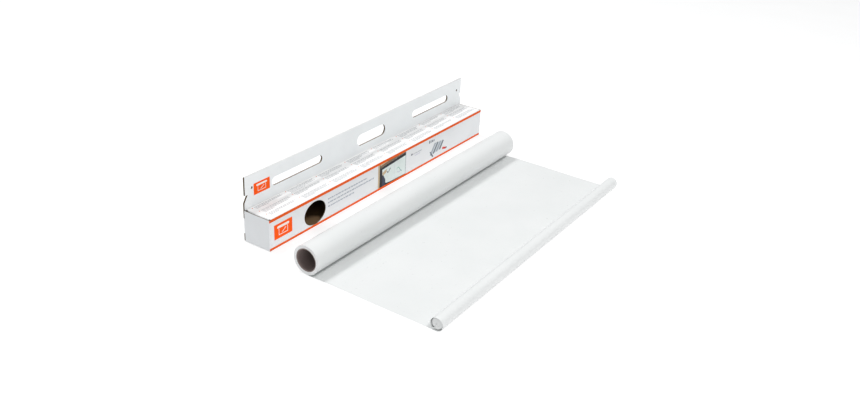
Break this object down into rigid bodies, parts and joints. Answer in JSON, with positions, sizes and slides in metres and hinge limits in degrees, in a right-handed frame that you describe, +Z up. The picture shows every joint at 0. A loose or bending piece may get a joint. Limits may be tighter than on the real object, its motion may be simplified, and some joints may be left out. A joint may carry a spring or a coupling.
{
  "type": "white film roll with dispenser carton",
  "caption": "Roll of white static-cling writing film on a paper core, partly unrolled, in front of its long corrugated dispenser carton with a slotted hanging header.",
  "frame": {"origin": "centre of the carton's bottom face, on the surface that the carton, the film and the roll lie on", "axes": "+X along the carton and the roll, -Y the way the front panel faces and the film lies, +Z up"},
  "size_m": [0.6579, 0.3972, 0.115],
  "materials": {
    "carton_board": "matte white liner on brown kraft, printed",
    "adhesive": "dry emulsion adhesive",
    "core_paper": "matte spiral-wound paper",
    "film": "satin white"
  },
  "bodies": {
    "carton": {"bottom_panel": "carton_board", "front_panel": "carton_board", "top_panel": "carton_board", "back_panel": "carton_board", "header_front_ply": "carton_board", "header_top_fold": "carton_board", "header_adhesive": "adhesive"},
    "end_left": {"end_panel_left": "carton_board", "end_fold_left": "carton_board"},
    "tab_left": {"end_tab_left": "carton_board", "tab_fold_left": "carton_board"},
    "dust_top_left": {"dust_flap_top_left": "carton_board", "dust_fold_top_left": "carton_board"},
    "dust_bottom_left": {"dust_flap_bottom_left": "carton_board", "dust_fold_bottom_left": "carton_board"},
    "end_right": {"end_panel_right": "carton_board", "end_fold_right": "carton_board"},
    "tab_right": {"end_tab_right": "carton_board", "tab_fold_right": "carton_board"},
    "dust_top_right": {"dust_flap_top_right": "carton_board", "dust_fold_top_right": "carton_board"},
    "dust_bottom_right": {"dust_flap_bottom_right": "carton_board", "dust_fold_bottom_right": "carton_board"},
    "film": {"film_sheet": "film", "film_curl": "film"},
    "lead": {"film_lead": "film"},
    "roll": {"core_tube": "core_paper", "film_roll": "film"}
  },
  "joints": [
    {"name": "end_left_open", "type": "hinge", "parent": "carton", "child": "end_left", "pos_m": [-0.3195, -0.0265, 0.02835], "axis": [0, 0, 1], "range_deg": [0, 120], "deforming": ["end_fold_left"]},
    {"name": "tab_left_unfold", "type": "hinge", "parent": "end_left", "child": "tab_left", "pos_m": [-0.3195, 0.0265, 0.0285], "axis": [0, 0, 1], "range_deg": [0, 61], "deforming": ["tab_fold_left"]},
    {"name": "dust_top_left_swing", "type": "hinge", "parent": "carton", "child": "dust_top_left", "pos_m": [-0.3177, -0.0028, 0.0555], "axis": [0, 1, 0], "range_deg": [0, 97], "deforming": ["dust_fold_top_left"]},
    {"name": "dust_bottom_left_swing", "type": "hinge", "parent": "carton", "child": "dust_bottom_left", "pos_m": [-0.3177, -0.0028, 0.0015], "axis": [0, -1, 0], "range_deg": [0, 97], "deforming": ["dust_fold_bottom_left"]},
    {"name": "end_right_open", "type": "hinge", "parent": "carton", "child": "end_right", "pos_m": [0.3195, -0.0265, 0.02835], "axis": [0, 0, -1], "range_deg": [0, 120], "deforming": ["end_fold_right"]},
    {"name": "tab_right_unfold", "type": "hinge", "parent": "end_right", "child": "tab_right", "pos_m": [0.3195, 0.0265, 0.0285], "axis": [0, 0, -1], "range_deg": [0, 61], "deforming": ["tab_fold_right"]},
    {"name": "dust_top_right_swing", "type": "hinge", "parent": "carton", "child": "dust_top_right", "pos_m": [0.3177, -0.0028, 0.0555], "axis": [0, -1, 0], "range_deg": [0, 97], "deforming": ["dust_fold_top_right"]},
    {"name": "dust_bottom_right_swing", "type": "hinge", "parent": "carton", "child": "dust_bottom_right", "pos_m": [0.3177, -0.0028, 0.0015], "axis": [0, 1, 0], "range_deg": [0, 97], "deforming": ["dust_fold_bottom_right"]},
    {"name": "film_lift", "type": "slide", "parent": "carton", "child": "film", "axis": [0, 0, 1], "range_m": [0, 0.15]},
    {"name": "roll_travel", "type": "slide", "parent": "film", "child": "lead", "axis": [0, -1, 0], "range_m": [0, 0.2], "deforming": ["film_sheet"]},
    {"name": "roll_spin", "type": "hinge", "parent": "lead", "child": "roll", "pos_m": [-0.0369, -0.1173, 0.02547], "axis": [1, 0, 0], "range_deg": [-1, 461]}
  ],
  "couplings": [
    {"joint": "tab_left_unfold", "follows": "end_left_open", "ratio": 0.5},
    {"joint": "dust_top_left_swing", "follows": "end_left_open", "ratio": 0.8},
    {"joint": "dust_bottom_left_swing", "follows": "end_left_open", "ratio": 0.8},
    {"joint": "tab_right_unfold", "follows": "end_right_open", "ratio": 0.5},
    {"joint": "dust_top_right_swing", "follows": "end_right_open", "ratio": 0.8},
    {"joint": "dust_bottom_right_swing", "follows": "end_right_open", "ratio": 0.8},
    {"joint": "roll_spin", "follows": "roll_travel", "rad_per_m": 40.161}
  ]
}
